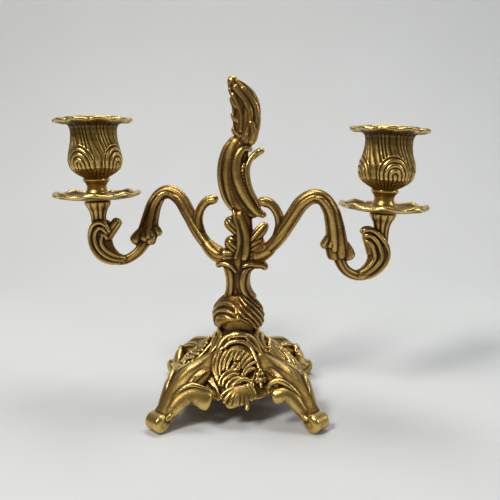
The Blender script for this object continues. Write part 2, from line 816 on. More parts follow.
@dataclass
class Base:
    """Hollow domed base on four cabriole legs, one ornamented side repeated round it.

    Rows of the side's ornament are: offset to the right, height, lift off the dome, half width, half depth.
    """

    neck: float = 12.3
    neck_top: float = 65.0
    wall: float = 3.2
    fall: tuple[tuple[float, float], ...] = (
        (12.3, 55.0), (13.6, 51.5), (16.8, 47.6), (21.0, 43.4), (27.0, 38.2), (33.5, 32.6), (39.5, 25.8),
        (43.0, 19.6), (43.8, 17.6))
    around: int = 720

    def reach(self, z: float) -> float:
        """Radius of the plain dome at a height."""
        fall = np.asarray(self.fall)
        return float(np.interp(-z, -fall[:, 1], fall[:, 0]))

    def on_side(self, rows: Sequence[Sequence[float]]) -> tuple[tuple[float, ...], ...]:
        """Stations over the side that faces -Y, from rows of the ornament.

        Args:
            rows: rows of the ornament.

        Returns:
            The stations.
        """
        made = []
        for x, z, lift, a, b in rows:
            radius = self.reach(z) + lift
            made.append((x, -math.sqrt(max(radius**2 - x**2, 1.0)), z, a, b))
        return tuple(made)

    def strip(self, rows: Sequence[Sequence[float]], ribs: Ribs = SMOOTH, blunt: float = 1.0) -> Shell:
        """A raised strip laid over the side."""
        return Bar(self.on_side(rows), ribs, (0.0, -0.76, 0.65), 28, 0.6, blunt).shell()

    def line(self, points: Sequence[tuple[float, float]], lift: float, start: float, middle: float,
             end: float) -> Shell:
        """A rounded line over the side, from its points and its radius at start, middle and end.

        Args:
            points: offset and height of each point.
            lift: height off the dome.
            start: radius at the start.
            middle: radius in the middle.
            end: radius at the end.

        Returns:
            Its skin.
        """
        share = np.linspace(0, 1, len(points))
        radius = np.interp(share, [0, 0.5, 1], [start, middle, end])
        return self.strip([(x, z, lift, r, r) for (x, z), r in zip(points, radius)])

    def side(self, angle: Array) -> Array:
        """Angle from the middle of the nearest side, in degrees from -45 to 45."""
        return (np.degrees(angle) + 90 + 45) % 90 - 45

    def relief(self, angle: Array, share: Array, z: Array) -> Array:
        """Height of the broad forms over the dome: neck panel, bed of the scallop and a netted field.

        Args:
            angle: angle round the base in radians.
            share: 0 to 1 along the profile.
            z: height.

        Returns:
            Height of the relief.
        """
        fall = np.asarray(self.fall)
        radius = np.interp(-z, -fall[:, 1], fall[:, 0])
        run = np.concatenate([[0], np.cumsum(np.linalg.norm(np.diff(fall, axis=0), axis=1))])
        t = np.interp(-z, -fall[:, 1], run)
        x = radius * np.radians(self.side(angle))
        bed = np.sqrt(((x + 2.0) / 14.5) ** 2 + ((t - 27.5) / 14.0) ** 2)
        out = 2.8 * np.sqrt(np.clip(1 - bed**2, 0, 1))
        hood = np.sqrt((x / 15.5) ** 2 + ((t - 20.0) / 17.5) ** 2)
        out += 1.1 * (1 - step(hood, 0.9, 1.06)) * (1 - step(t, 18, 26))
        border = np.interp(t, [0, 12, 30, 45], [10, 15, 21, 24])
        outside = step(np.abs(x + 0.5 + 0.12 * (t - 10)) - border, 0, 2.5)
        net = ribbed(x / 4.2 + 0.35 * np.sin(t / 2.3), 0.9)
        net = net + 0.8 * ribbed(t / 4.6 + 0.3 * np.sin(x / 1.9), 0.9)
        return out + 0.75 * outside * (net + 0.6)

    def edge(self, angle: Array, radius: Array, z: Array) -> tuple[Array, Array]:
        """Lifts the lower edge a little where the legs leave the dome."""
        side = np.abs(self.side(angle))
        return radius, z + 4.5 * step(side, 20, 34) * (1 - step(z, 16, 36))

    def dome(self) -> Shell:
        """The hollow dome with its ornament.

        Returns:
            Its closed skin.
        """
        outer = [(self.neck, self.neck_top, 0.0), (self.neck, 55.2, 0.0)]
        outer += [(r, z, 1.0) for r, z in self.fall]
        inner = [(r - self.wall * 1.05, z - 0.6 * self.wall, 0.0) for r, z in reversed(self.fall[2:])]
        top = [(9.0, 50.5, 0.0), (9.0, 61.0, 0.0), (3.3, 61.0, 0.0), (3.3, self.neck_top, 0.0)]
        return turned_shell(outer + inner + top, self.around, 0.5, self.relief, self.edge)

    def mouldings(self) -> list[Shell]:
        """Edges of the neck panel and the three arches over the scallop.

        Returns:
            Their skins.
        """
        return [
            self.strip([(-11.8, 53.6, -0.3, 1.6, 1), (-14.4, 48, 0.1, 2.2, 1.3), (-17.2, 42.4, 0.2, 2.6, 1.6),
                        (-19.2, 37, 0.2, 2.7, 1.7), (-19.4, 32, 0.4, 2.4, 1.7), (-17.2, 27.8, 0.8, 1.9, 1.5),
                        (-14.2, 24.6, 0.8, 1.2, 1.2)]),
            self.strip([(11.4, 53.6, -0.3, 1.6, 1), (14.6, 48.4, 0.1, 2.2, 1.3), (17.2, 43.8, 0.2, 2.6, 1.6),
                        (19.4, 39.4, 0.2, 2.7, 1.7), (22, 35.2, 0.2, 2.4, 1.6), (25.4, 31.4, 0.2, 1.8, 1.3)]),
            self.strip([(-14.4, 40, 0.6, 1.4, 1.1), (-13, 44.2, 0.8, 2, 1.5), (-10.6, 48.2, 0.8, 2.3, 1.7),
                        (-7, 51.4, 0.8, 2.5, 1.8), (-2.6, 53.2, 0.7, 2.6, 1.8), (2.6, 53.4, 0.7, 2.6, 1.8),
                        (7.2, 51.8, 0.8, 2.5, 1.8), (11.2, 48.2, 0.8, 2.3, 1.7), (14.2, 43.6, 0.8, 2.1, 1.5),
                        (16.2, 39.2, 0.8, 1.8, 1.3), (17.4, 35.2, 0.8, 1.2, 1.1)]),
            self.strip([(-9.8, 44.6, 1.7, 1.1, 1), (-6.8, 47.6, 1.7, 1.5, 1.3), (-2.8, 49.2, 1.7, 1.7, 1.4),
                        (1.6, 49.4, 1.7, 1.7, 1.4), (5.6, 48, 1.7, 1.6, 1.4), (9, 45, 1.8, 1.5, 1.3),
                        (11.4, 41.2, 1.9, 1.4, 1.2), (13.4, 37.2, 1.9, 1.2, 1.1),
                        (14.4, 34.2, 1.9, 0.9, 0.9)]),
            self.line([(-21.8, 39.5), (-22.8, 34.6), (-21.6, 30.4), (-17.6, 26.4), (-13.4, 23.8),
                       (-12.5, 20.6), (-12.7, 16.6)], 1.2, 0.9, 1.5, 1),
        ]

    def scallop(self) -> list[Shell]:
        """Three tiers of plumes over the bed in the middle of the side.

        Returns:
            Their skins.
        """
        upper = (
            [(-14.6, 42), (-16.6, 37.6), (-15.9, 32.8), (-12.6, 28.6), (-9.4, 25.8)],
            [(-11.2, 44), (-13.9, 39.2), (-14.6, 34.2), (-12.9, 29.8)],
            [(-7.2, 45), (-10.6, 40.2), (-12.1, 35.4), (-11.6, 31.4)],
            [(-4.2, 45.6), (-7.7, 41.2), (-9.4, 37), (-9.8, 33.8)],
            [(-1.2, 45.8), (-4.4, 41.6), (-6.6, 37.2), (-7.2, 34.4)],
            [(1.7, 45.7), (-1, 42.2), (-2.7, 39)],
            [(4.6, 45), (1.6, 41.8), (-0.4, 39.2)],
            [(7.7, 43.4), (4, 40.4), (1.8, 37.2)],
            [(10.4, 41.1), (6.4, 39), (3, 35.6)],
            [(12.2, 38.3), (8, 37), (4.8, 34.6), (2.6, 31.2)],
            [(12.2, 35.2), (7.8, 34.6), (4.6, 31.8)],
        )
        plumes = [self.line(points, 3, 1.35, 1.25, 0.7) for points in upper]
        middle = ([(-1.4, 39.3), (-3, 36.8), (-5.4, 34.6)], [(1.4, 39.2), (0.2, 36.8), (-2, 34.4)])
        plumes += [self.line(points, 4.2, 1.2, 1.15, 0.7) for points in middle]
        lower = (
            [(2.2, 35.6), (-3.8, 35), (-9, 32.6), (-11.8, 28.8), (-12, 26.4)],
            [(1.4, 33.4), (-4.6, 32.5), (-8.6, 29.8), (-10, 26.2)],
            [(2.6, 31.6), (-2.6, 30.6), (-6.2, 28), (-7.4, 25)],
            [(3.6, 29.8), (-0.8, 28.6), (-3.6, 26.6)],
        )
        return plumes + [self.line(points, 3.9, 0.9, 1.35, 0.9) for points in lower]

    def fan(self) -> list[Shell]:
        """Fan that hangs under the scallop, its tip a little curled.

        Returns:
            Its skins.
        """
        rays = (
            [(-1.2, 26.8), (-5.6, 24.8), (-9.4, 22.2), (-11.4, 19)],
            [(0, 26.2), (-4.4, 22.8), (-7.8, 19.2), (-9, 16.6)],
            [(0.6, 25.8), (-2.6, 21.4), (-5.2, 16)],
            [(1.6, 25.9), (-0.6, 21), (-2.2, 15)],
            [(2.3, 26), (0.8, 20.8), (-0.2, 15.2)],
            [(3.4, 27.4), (3.2, 22), (3.2, 15.4)],
            [(4.4, 28.2), (5.6, 22.8), (6.4, 17), (6.6, 14.4)],
            [(6.4, 28.4), (8.6, 23.6), (9.6, 18)],
            [(8.4, 28.2), (11.2, 23.6), (12.2, 19)],
        )
        bed = Bar(((1, -40.5, 27, 7, 2.5), (1.2, -43.6, 22.4, 11.2, 2.8), (1.6, -45.2, 17.6, 10, 2.6),
                   (2.6, -45.6, 14.8, 7, 2)),
                  facing=(0.0, -0.9, 0.35), around=48).shell()
        top = self.line([(-5.6, 25.6), (-1.6, 28.8), (4, 30.4), (8.6, 29.2), (11.2, 26.2)],
                        3.6, 0.9, 1.5, 0.9)
        tip = Ball((6.4, -49, 14.6), (1.7, 1.7, 1.6)).shell()
        return [bed, top, tip] + [self.line(points, 4, 0.9, 1.3, 1.15) for points in rays]

    def flower(self) -> list[Shell]:
        """Berry cluster beside the scallop, with its short stalks.

        Returns:
            Its skins.
        """
        berries = [(13.6, 31.6, 1.7), (16.6, 31.2, 1.7), (12.9, 28.9, 1.6), (15.3, 28.4, 1.9),
                   (18, 28.6, 1.6), (15, 33.6, 1.5), (18.2, 33.2, 1.2), (15.6, 25.9, 1.3)]
        made = []
        for x, z, r in berries:
            radius = self.reach(z) + 2.9
            made.append(Ball((x, -math.sqrt(radius**2 - x**2), z), (r * 1.1, r * 1.1, r * 1.35)).shell())
        return made

    def lobes(self) -> list[Shell]:
        """Smooth swoosh that climbs each leg's flank and rolls in to a lobe beside the fan.

        Returns:
            Skins of the swooshes and of their edges.
        """
        facing = (0.0, -0.93, 0.36)
        left = Bar(((-46.6, -51.6, 8, 3, 2.6), (-41, -49.6, 14.6, 4.4, 3.2), (-35.6, -47.4, 20.2, 5.4, 3.6),
                    (-30, -46.4, 22.6, 6, 3.8), (-25, -46.6, 21.6, 6.4, 3.8), (-20.4, -47.2, 19.2, 6.6, 3.6),
                    (-16.6, -47, 17.6, 5.8, 3)), facing=facing, around=48).shell()
        right = Bar(((46.6, -51.6, 8, 3, 2.6), (41.2, -49.4, 15, 4, 3.2), (36.2, -47.2, 20.6, 4.8, 3.6),
                     (31.4, -46.4, 22.8, 5, 3.8), (26.8, -46.8, 22.2, 5, 3.6), (22.2, -47, 20.8, 4.8, 3)),
                    facing=facing, around=48).shell()
        edge_left = Bar(((-44, -48, 17, 1, 1.2), (-38.4, -46.8, 24.2, 1.5, 1.7), (-32, -45.8, 28.6, 1.7, 1.9),
                         (-26, -45.4, 28.4, 1.7, 1.9), (-20.6, -45.6, 26, 1.5, 1.7),
                         (-15.8, -45.6, 23.4, 1.1, 1.3)),
                        facing=facing, around=28).shell()
        edge_right = Bar(((43.6, -47.6, 17.6, 1, 1.2), (38.4, -46.4, 24.6, 1.5, 1.7),
                          (32.6, -45.2, 29.4, 1.8, 1.9), (26.6, -43.6, 31.4, 1.9, 2),
                          (22.2, -43.6, 29.6, 1.6, 1.7), (20.2, -45, 26.4, 1.2, 1.3)),
                         facing=facing, around=28).shell()
        return [left, right, edge_left, edge_right]

    def leg(self) -> list[Shell]:
        """One leg in the plane y = 0: a smooth swelling body, low ridges along its top and a rolled toe.

        Returns:
            Its skins.
        """
        across = (0, 1, 0)
        shells = [
            Bar(((18, 0, 39, 4.4, 6), (28, 0, 34.4, 6.2, 9), (38, 0, 30.2, 7.2, 10.8), (47, 0, 27.6, 7.6, 11),
                 (54.5, 0, 22.4, 7.2, 10.2), (60.5, 0, 16.2, 6.4, 9.2), (66, 0, 10.4, 5.6, 8),
                 (72.5, 0, 6.6, 5, 7.4)), SMOOTH, across, 96).shell(),
            Bar(((24, 0, 39.4, 2.4, 2.6), (32, 0, 37.2, 2.8, 3.2), (40, 0, 35.8, 3, 3.6),
                 (48, 0, 33.4, 3, 3.8), (55.5, 0, 27.4, 2.8, 3.6), (62, 0, 19.6, 2.5, 3.4),
                 (67.6, 0, 12.8, 2.2, 3.4), (72.6, 0, 10.4, 1.8, 3.4)),
                Ribs(), across).shell(),
            Bar(((73, -7.6, 6.4, 6.2, 6.2), (73, 7.6, 6.4, 6.2, 6.2)), SMOOTH, (0, 0, 1), 72,
                blunt=0.45).shell(),
        ]
        flank = ((34, 7, 34, 1.6, 1.8), (42, 8, 33.6, 2.1, 2.3), (49.5, 8.2, 30.6, 2.3, 2.4),
                 (56, 7.8, 24.4, 2.2, 2.3), (62.5, 7, 16.6, 2, 2.1), (68, 6.4, 10.8, 1.8, 2),
                 (72, 6.2, 9.2, 1.6, 1.9))
        return shells + both_faces(flank)

    def build(self, finish: bpy.types.Material) -> bpy.types.Object:
        """Builds and dresses the base.

        Args:
            finish: the material it gets.

        Returns:
            The base.
        """
        casting = Casting("base_dome", Body.BASE, ("base_casting",), 0.45, 4)
        casting.add(self.dome())
        leg = self.leg()
        panel = self.mouldings() + self.scallop() + self.fan() + self.flower() + self.lobes()
        for number in range(4):
            casting.add(*[s.moved(turn_z(45 + 90 * number)) for s in leg])
            casting.add(*[s.moved(turn_z(90 * number)) for s in panel])
        return casting.make(finish)


# ---------------------------------------------------------------- stem


@dataclass
class Stem:
    """Knop, neck, leafy shaft and tall C-scroll in one casting, and the flame leaf above it."""

    knop_bore: float = 13.3
    knop_top: float = 80.0
    seat: float = 65.0
    skirt: float = 55.3
    arch_crown: float = 47.3
    arch_radius: float = 15.5
    arch_top: float = 66.5

    def knop(self) -> Shell:
        """The knop, whose skirt is arched up over the base's neck at front and back.

        Returns:
            The closed skin.
        """
        profile = [(0, self.knop_top, 0), (8.4, 79.5, 0.3), (10.8, 77.2, 1), (14.6, 73.8, 1), (17.4, 69.6, 1),
                   (18.5, 65.3, 1), (18.2, 60.2, 1), (17.2, 57, 0.6), (15.4, self.skirt, 0), (13.4, 56.4, 0),
                   (self.knop_bore, 62, 0), (self.knop_bore, self.seat, 0), (0, self.seat, 0)]

        def relief(angle: Array, share: Array, z: Array) -> Array:
            """Relief of each face: swept ribs on the right, a smooth lobe with crescents on the left.

            Args:
                angle: angle round the knop in radians.
                share: 0 to 1 along the profile.
                z: height.

            Returns:
                Height of the relief.
            """
            turn = (np.degrees(angle) + 90) % 180
            swept = ribbed((turn - 2.9 * (76 - z)) / 15.5, 0.6)
            right = step(turn, 2, 16) * (1 - step(turn, 84, 98))
            rho = np.sqrt(((turn - 150) * 0.30) ** 2 + (z - 57.5) ** 2)
            ridges = 0.9 * hump(rho, 11.4, 1.1) + 0.8 * hump(rho, 15.6, 1.1)
            hollows = 0.7 * hump(rho, 13.4, 0.9) + 0.7 * hump(rho, 17.6, 0.9)
            left = step(turn, 98, 112) * (1 - step(turn, 172, 180))
            return 1.2 * right * swept + left * (ridges - hollows + 0.2)

        def shape(angle: Array, radius: Array, z: Array) -> tuple[Array, Array]:
            """Arches the skirt's lower edge.

            Args:
                angle: angle round the knop in radians.
                radius: distance from the axis.
                z: height.

            Returns:
                The changed radius and height.
            """
            x = np.abs(np.cos(angle)) * np.maximum(radius, 12)
            crown = self.arch_crown + np.sqrt(np.clip(self.arch_radius**2 - x**2, 0, None))
            rise = np.maximum(crown, self.skirt) - self.skirt
            share = np.clip((self.arch_top - z) / (self.arch_top - self.skirt), 0, 1)
            return radius, z + share * np.where(z < self.arch_top, rise, 0)

        return turned_shell(profile, 300, 0.5, relief, shape, closed=False)

    def neck(self) -> list[Shell]:
        """Neck, plain on one side and bowed and ridged on the other, with the collar's arcs.

        Returns:
            Skins of the front and the back.
        """
        return [
            *both_faces(((-9, 2.2, 75.5, 3, 4.2), (-6.2, 2.2, 79, 3.6, 4.4), (-5.2, 2.2, 85, 3.4, 4.2),
                         (-5.2, 2.2, 92, 3.6, 4.2), (-6.4, 2.2, 98, 4, 4.2), (-9.5, 2.2, 101, 2.6, 3.2)),
                        Ribs(4, 0.8, 0.4, sharp=0.5)),
            *both_faces(((12.5, 2.2, 75, 3, 4), (7.2, 2.86, 78.5, 4.4, 4.8), (4.2, 3.08, 84, 5, 5),
                         (3.6, 3.08, 91, 5.2, 5), (6, 2.64, 97.5, 4.4, 4.2), (11.5, 2.2, 100.5, 2.6, 3.2)),
                        Ribs(6, 1.3, math.pi / 6, sharp=0.5)),
            *both_faces(((-15, 0.88, 98.6, 2.2, 3.2), (-12.8, 1.32, 101.4, 2.6, 3.8),
                         (-8.4, 2.2, 101.8, 3, 4.4), (-3.4, 3.52, 99.6, 2.6, 4.6), (-0.2, 3.96, 95, 1.8, 4)),
                        Ribs(4, 0.8, sharp=0.5)),
            *both_faces(((20.6, 0.88, 97.4, 2.3, 3.4), (17.6, 1.32, 100.6, 2.8, 4),
                         (12.6, 2.2, 101.4, 3.2, 4.4), (7.4, 3.74, 101.8, 2.8, 4.6),
                         (2.6, 3.96, 99.5, 2.4, 4.6)), Ribs(4, 0.9, sharp=0.5)),
            *[Ball((1.4, face * 18, 66.4), (1.9, 1.5, 1.9)).shell() for face in (-1, 1)],
        ]

    def shaft(self) -> list[Shell]:
        """Shaft through the arm bosses, with its two ridges and the four leaves that grow from it.

        Returns:
            Their skins.
        """
        return [
            *both_faces(((3, 1.2, 143, 1.6, 1.6), (2.4, 3.4, 136.6, 2.4, 2.4), (4.2, 4, 130, 2.8, 2.8),
                         (6, 4.2, 121, 2.8, 2.8), (6, 4.8, 112, 2.8, 2.8), (4, 5.2, 104, 2.4, 2.4))),
            *both_faces(((-3, 1.2, 141, 1.4, 1.4), (-1.6, 3.2, 134, 1.8, 2), (1.2, 4.2, 124, 2, 2.2),
                         (1, 4.6, 114, 2, 2.2), (-1.4, 5, 105, 1.8, 2))),
            flat_bar(((0.2, 76, 6.5, 6.5), (0.4, 88, 6, 6), (1.5, 99, 7.6, 7), (2.4, 106, 8.6, 7),
                      (3.6, 116, 7.4, 6.4), (4, 125, 6.6, 6), (3, 133, 7, 6), (0.5, 141, 7, 6)),
                      Ribs(8, 0.8, math.pi / 8, 0.04, sharp=0.5)),
            flat_bar(((-13, 107.4, 5.2, 5.2), (13, 107.4, 5.2, 5.2)), Ribs(6, 0.8, sharp=0.5), blunt=0.7),
            flat_bar(((3, 109, 3.8, 6.4), (-1.8, 113.2, 5, 6.4), (-5.8, 117, 5.4, 5.8),
                      (-9, 119.2, 4.4, 4.4)), Ribs(9, 1.3, sharp=0.6), around=64),
            flat_bar(((4.6, 120, 3.6, 6), (-0.4, 125.6, 4.8, 5.8), (-4.8, 130.2, 5.2, 5.2),
                      (-8.6, 133.8, 4, 4)), Ribs(9, 1.3, sharp=0.6), around=64),
            flat_bar(((6, 111, 3.6, 5.8), (11.2, 115, 4.4, 5.4), (15.4, 117.6, 4.2, 4.6),
                      (18.2, 119.6, 3.4, 3.4)), Ribs(7, 1.2, sharp=0.6)),
            flat_bar(((7, 115, 3.4, 5.6), (12.4, 121, 4.2, 5.2), (16.8, 126, 4.2, 4.2),
                      (20.6, 130.6, 2.4, 2.8)), Ribs(7, 1.1, sharp=0.6)),
        ]

    def scroll(self) -> list[Shell]:
        """Tall C-scroll: on each face a broad ridge, an edge ridge, a pebbled channel and a dark back rib.

        Returns:
            Their skins, with the scroll's body, spine, hooked ends and the foot of the flame.
        """
        return [
            *both_faces(((16, 1.2, 135.8, 2.3, 2.6), (12.2, 2.8, 139, 2.7, 2.8), (7.6, 4.4, 145.4, 3, 2.8),
                         (3.8, 5.4, 152.2, 3.2, 2.8), (0.8, 5.9, 160, 3.3, 2.8), (-0.6, 5.9, 168.5, 3.2, 2.8),
                         (0.4, 5.4, 176, 2.9, 2.6), (3.4, 4.7, 180.8, 2.5, 2.3), (7.4, 3.6, 181.6, 1.9, 2),
                         (9.8, 3, 180, 1.5, 1.8))),
            *both_faces(((15.4, 0.6, 140.4, 1.6, 2.2), (12.6, 1.8, 146, 1.8, 2.4), (9, 3.2, 152.4, 1.9, 2.6),
                         (6.8, 4, 160, 1.9, 2.6), (6.4, 4, 167.5, 1.9, 2.6), (8.4, 3, 173.6, 1.9, 2.4),
                         (11.6, 1.4, 177.8, 2, 2.4), (14.6, 0.4, 179.4, 2.3, 2.6))),
            *both_faces(((12.6, 2.4, 142.6, 1.2, 1.5), (8.6, 4.2, 149.4, 1.3, 1.6),
                         (5.6, 5.2, 156.5, 1.3, 1.6), (3.6, 5.6, 164.5, 1.3, 1.6),
                         (4.6, 5, 172.5, 1.2, 1.5)), Ribs(1, 0, beads=0.55, bead_length=2.3)),
            *both_faces(((-1.6, 2, 141, 2.2, 2.2), (-4.8, 3, 150, 2.8, 2.5), (-6.8, 3.4, 160, 3.1, 2.7),
                         (-6.8, 3.4, 170, 3.1, 2.7), (-4.2, 3.2, 178, 2.9, 2.5), (0.4, 2.6, 184, 2.4, 2.2),
                         (4.6, 1.8, 186, 1.8, 1.9))),
            flat_bar(((14.5, 136.8, 2.6, 3.6), (10, 137.6, 4.2, 4.6), (4.6, 140.6, 6.2, 5.2),
                      (0, 147.5, 7.6, 5.8), (-2.8, 156, 8.8, 6.2), (-3.4, 166, 9.2, 6.4),
                      (-2.4, 175, 9.6, 6.2), (-0.2, 182.5, 8.4, 5.6), (3.6, 189, 6.4, 4.8)),
                      Ribs(8, 0.4, math.pi / 10, sharp=0.5), around=80),
            flat_bar(((-3, 139, 2, 3.2), (-8.4, 147, 2.3, 3.6), (-11.4, 157, 2.5, 3.8), (-12, 167, 2.5, 3.8),
                      (-10.4, 176, 2.5, 3.8), (-6.6, 183.6, 2.6, 3.8), (-0.6, 188, 2.6, 3.6),
                      (5, 188, 2.2, 3.2))),
            flat_bar(((9.6, 174.6, 2, 2.8), (13, 178.4, 2.4, 2.8), (16, 179.8, 2.6, 2.6),
                      (17.8, 178.4, 2, 2.2))),
            flat_bar(((11, 143, 2.2, 3), (14, 138.6, 2.8, 3.2), (17.4, 136.6, 2.8, 3),
                      (19.4, 138, 2.2, 2.4))),
            flat_bar(((1, 182.5, 6.4, 4.2), (5.4, 188.5, 6.8, 4.4), (7.6, 193, 5.6, 3.8)),
                     Ribs(7, 0.7, 0.4, sharp=0.5)),
        ]

    def build(self, finish: bpy.types.Material, turn: Array) -> bpy.types.Object:
        """Builds and dresses the stem.

        Args:
            finish: the material it gets.
            turn: rotation of the branch about the stem.

        Returns:
            The stem.
        """
        casting = Casting("stem_scroll", Body.BRANCH, ("stem_casting",), 0.38, 5)
        casting.add(self.knop(), *self.neck(), *self.shaft(), *self.scroll())
        return casting.make(finish, turn)

    def flame(self, finish: bpy.types.Material, turn: Array) -> bpy.types.Object:
        """Builds and dresses the flame leaf: a flat ribbed core, ridges on both faces and folds at its edges.

        Args:
            finish: the material it gets.
            turn: rotation of the branch about the stem.

        Returns:
            The flame leaf.
        """
        fine = 0.45
        core = ((4.6, 183.5, 5.6, 3.8), (5.2, 190, 8, 4.4), (5.8, 196.5, 9.2, 4.6), (6, 203, 9.8, 4.5),
                (5.6, 209, 9.9, 4.2), (4, 215, 9, 3.8), (1, 220.4, 7, 3.4), (-2, 224.6, 5, 3),
                (-3.6, 228.2, 3.6, 2.8))
        casting = Casting("flame_leaf", Body.BRANCH, ("flame_finial",), 0.32, 5)
        casting.add(flat_bar(core, Ribs(9, 1, 0.3, 0.14, sharp=0.6), around=80, spacing=fine),
                    Ball((-3.6, 0, 226.4), (3.5, 2.9, 3.9), 12).shell())
        ridges = (
            (((11, 188), (13.2, 196), (13.6, 204), (11.6, 211.5), (7, 218), (2.4, 222.6)), 2, 2.4),
            (((5.6, 190), (8.4, 198), (8.6, 206), (5.2, 213.6), (0.8, 219.4), (-2.6, 224)), 2.2, 3),
            (((2.2, 192), (3, 200), (2, 207), (-0.8, 213.4), (-3.4, 219)), 1.8, 3),
        )
        for points, radius, out in ridges:
            rows = tuple((x, out - 0.03 * max(z - 200, 0), z, radius, radius * 0.9) for x, z in points)
            casting.add(*both_faces(rows, around=28, spacing=fine))
        casting.add(*both_faces(((8.6, 3, 184.5, 2.6, 2), (11, 3.6, 191, 3, 2), (10.4, 3.8, 196.5, 2.6, 1.9),
                                 (8.4, 3.6, 200.5, 1.7, 1.5)),
                                Ribs(4, 0.5, sharp=0.5)))
        folds = (
            (((3, 189.5), (-1.6, 192.6), (-3.4, 196.4)), 2.8), (((3, 198), (-1.6, 201.4), (-3.8, 206)), 3),
            (((2, 207.5), (-2.4, 211.6), (-4.6, 216.4)), 2.9),
            (((0, 214.6), (-3.8, 218.6), (-5.6, 222.6)), 2.4),
            (((8.8, 205), (13, 210), (13.4, 215)), 2.2), (((9, 196), (13.6, 201), (14.6, 207)), 2.2),
            (((2, 182), (-1.4, 186), (-2.2, 189.5)), 2.6),
        )
        for points, radius in folds:
            rows = tuple((x, z, radius * (1 - 0.22 * k), radius * 1.5 * (1 - 0.2 * k))
                         for k, (x, z) in enumerate(points))
            casting.add(flat_bar(rows, Ribs(4, 0.4, sharp=0.5), spacing=fine))
        return casting.make(finish, turn)


# ---------------------------------------------------------------- arms


